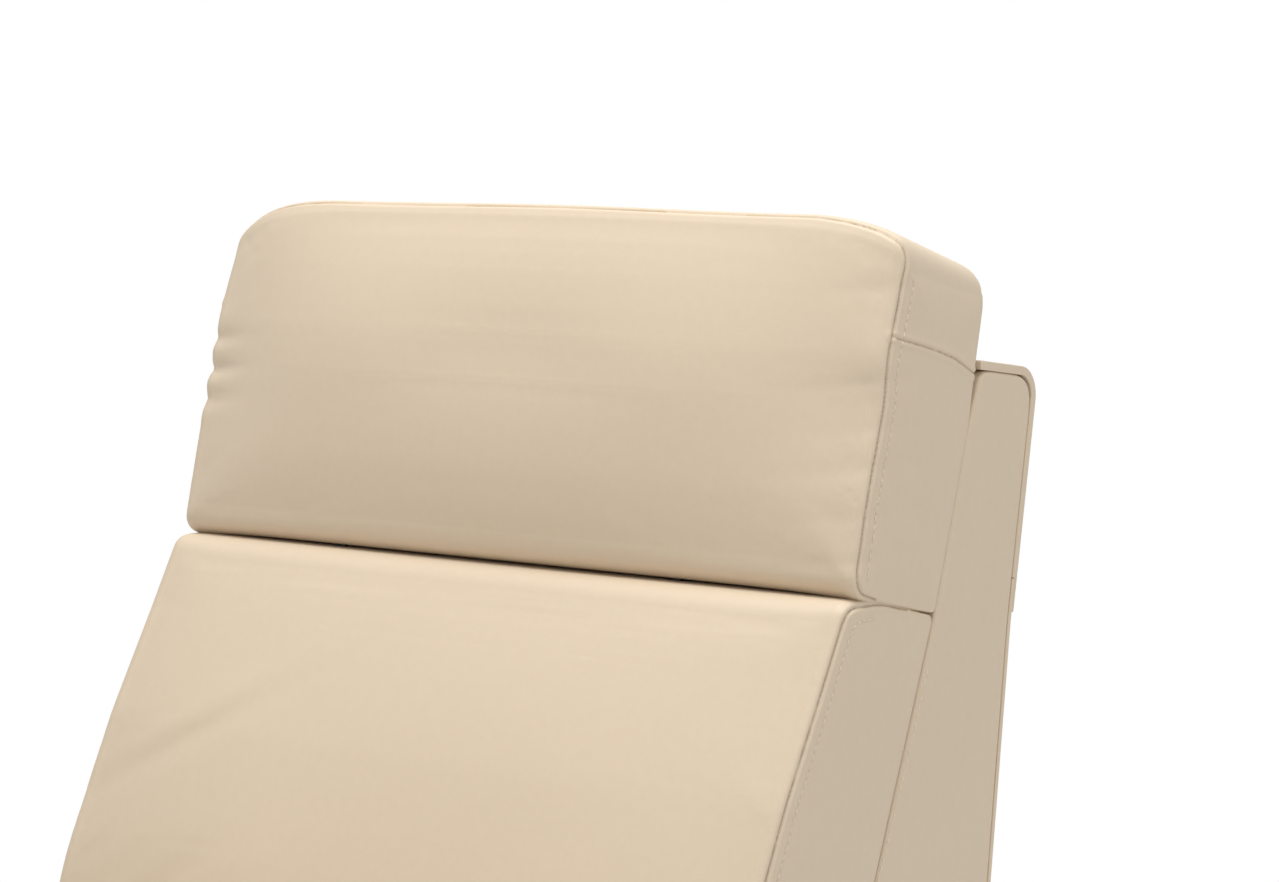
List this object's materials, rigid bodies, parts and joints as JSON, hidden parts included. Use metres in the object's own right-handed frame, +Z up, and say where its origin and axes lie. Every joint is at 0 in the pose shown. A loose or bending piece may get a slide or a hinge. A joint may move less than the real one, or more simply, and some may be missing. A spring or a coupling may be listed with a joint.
{
  "type": "armless recliner",
  "caption": "Armless leather recliner with tilting headrest, lumbar cushion, sliding seat, reclining back and a lazy-tong footrest",
  "frame": {"origin": "on the floor, under the middle of the closed chair's overall box", "axes": "+Z up, the sitter faces -Y, X is the chair's width"},
  "size_m": [0.62, 0.98, 1.047],
  "materials": {
    "leather": "soft beige upholstery leather, fine grain, low sheen",
    "steel": "satin black powder coat",
    "zinc": "zinc-plated steel pins",
    "nylon": "natural nylon",
    "black_plastic": "moulded black plastic",
    "wood": "raw birch plywood",
    "webbing": "woven elastic webbing"
  },
  "bodies": {
    "base": {"feet": "black_plastic", "base_side_panel_left": "leather", "base_side_panel_right": "leather", "base_rear_panel": "leather", "base_cross_tube_front": "steel", "base_cross_tube_rear": "steel", "seat_track_left": "steel", "seat_track_right": "steel"},
    "seat": {"seat_plate_left": "steel", "seat_plate_right": "steel", "seat_glide_shoes": "nylon", "seat_side_rail_left": "leather", "seat_side_rail_right": "leather", "seat_front_rail": "wood", "seat_rear_rail": "wood", "seat_webbing": "webbing", "seat_mounting_blocks": "wood", "drive_tube_bushes": "nylon", "seat_cushion": "leather", "back_pivot_pins": "zinc"},
    "drive_tube": {"footrest_drive_tube": "steel", "footrest_cranks": "steel"},
    "rear_links": {"footrest_rear_link_left": "steel", "footrest_rear_link_right": "steel", "footrest_link_pins_left": "zinc", "footrest_link_pins_right": "zinc"},
    "cross_links": {"footrest_cross_link_left": "steel", "footrest_cross_link_right": "steel"},
    "short_links": {"footrest_short_link_left": "steel", "footrest_short_link_right": "steel"},
    "drive_links": {"footrest_drive_link_left": "steel", "footrest_drive_link_right": "steel", "footrest_ear_pin_left": "zinc", "footrest_ear_pin_right": "zinc"},
    "footrest": {"footrest_bracket_left": "steel", "footrest_bracket_right": "steel", "footrest_board": "wood", "footrest_cross_brace": "steel", "footrest_cushion": "leather"},
    "back": {"back_side_panel_left": "leather", "back_side_panel_right": "leather", "rear_cover_lower": "leather", "rear_cover_upper": "leather", "back_post_left": "wood", "back_post_right": "wood", "back_bottom_rail": "wood", "back_middle_rail": "wood", "back_top_rail": "wood", "back_webbing": "webbing", "back_bracket_left": "steel", "back_bracket_right": "steel", "lumbar_cushion": "leather", "headrest_hinge_base_left": "steel", "headrest_hinge_base_right": "steel", "headrest_hinge_pins": "zinc"},
    "headrest": {"headrest_board": "wood", "headrest_hinge_arm_left": "steel", "headrest_hinge_arm_right": "steel", "headrest_cushion": "leather"}
  },
  "joints": [
    {"name": "back_recline", "type": "hinge", "parent": "seat", "child": "back", "pos_m": [0, 0.225, 0.43], "axis": [-1, 0, 0], "range_deg": [0, 27]},
    {"name": "seat_glide", "type": "slide", "parent": "base", "child": "seat", "axis": [0, -1, 0], "range_m": [0, 0.06]},
    {"name": "headrest_tilt", "type": "hinge", "parent": "back", "child": "headrest", "pos_m": [0, 0.268, 0.788], "axis": [1, 0, 0], "range_deg": [0, 25]},
    {"name": "footrest_open", "type": "hinge", "parent": "seat", "child": "rear_links", "pos_m": [0, -0.352, 0.292], "axis": [-1, 0, 0], "range_deg": [0, 76]},
    {"name": "drive_tube_turn", "type": "hinge", "parent": "seat", "child": "drive_tube", "pos_m": [0, -0.212, 0.292], "axis": [-1, 0, 0], "range_deg": [0, 76]},
    {"name": "drive_link_turn", "type": "hinge", "parent": "drive_tube", "child": "drive_links", "pos_m": [0, -0.2435, 0.31325], "axis": [-1, 0, 0], "range_deg": [-76, 0]},
    {"name": "cross_link_turn", "type": "hinge", "parent": "rear_links", "child": "cross_links", "pos_m": [0, -0.37843, 0.17751], "axis": [-1, 0, 0], "range_deg": [-152, 0]},
    {"name": "short_link_turn", "type": "hinge", "parent": "rear_links", "child": "short_links", "pos_m": [0, -0.40486, 0.06302], "axis": [-1, 0, 0], "range_deg": [-152, 0]},
    {"name": "footrest_turn", "type": "hinge", "parent": "short_links", "child": "footrest", "pos_m": [0, -0.39871, 0.18036], "axis": [-1, 0, 0], "range_deg": [0, 152]}
  ],
  "couplings": [
    {"joint": "seat_glide", "follows": "back_recline", "m_per_rad": 0.12732},
    {"joint": "drive_tube_turn", "follows": "footrest_open", "ratio": 1},
    {"joint": "drive_link_turn", "follows": "footrest_open", "ratio": -1},
    {"joint": "cross_link_turn", "follows": "footrest_open", "ratio": -2},
    {"joint": "short_link_turn", "follows": "footrest_open", "ratio": -2},
    {"joint": "footrest_turn", "follows": "footrest_open", "ratio": 2}
  ]
}
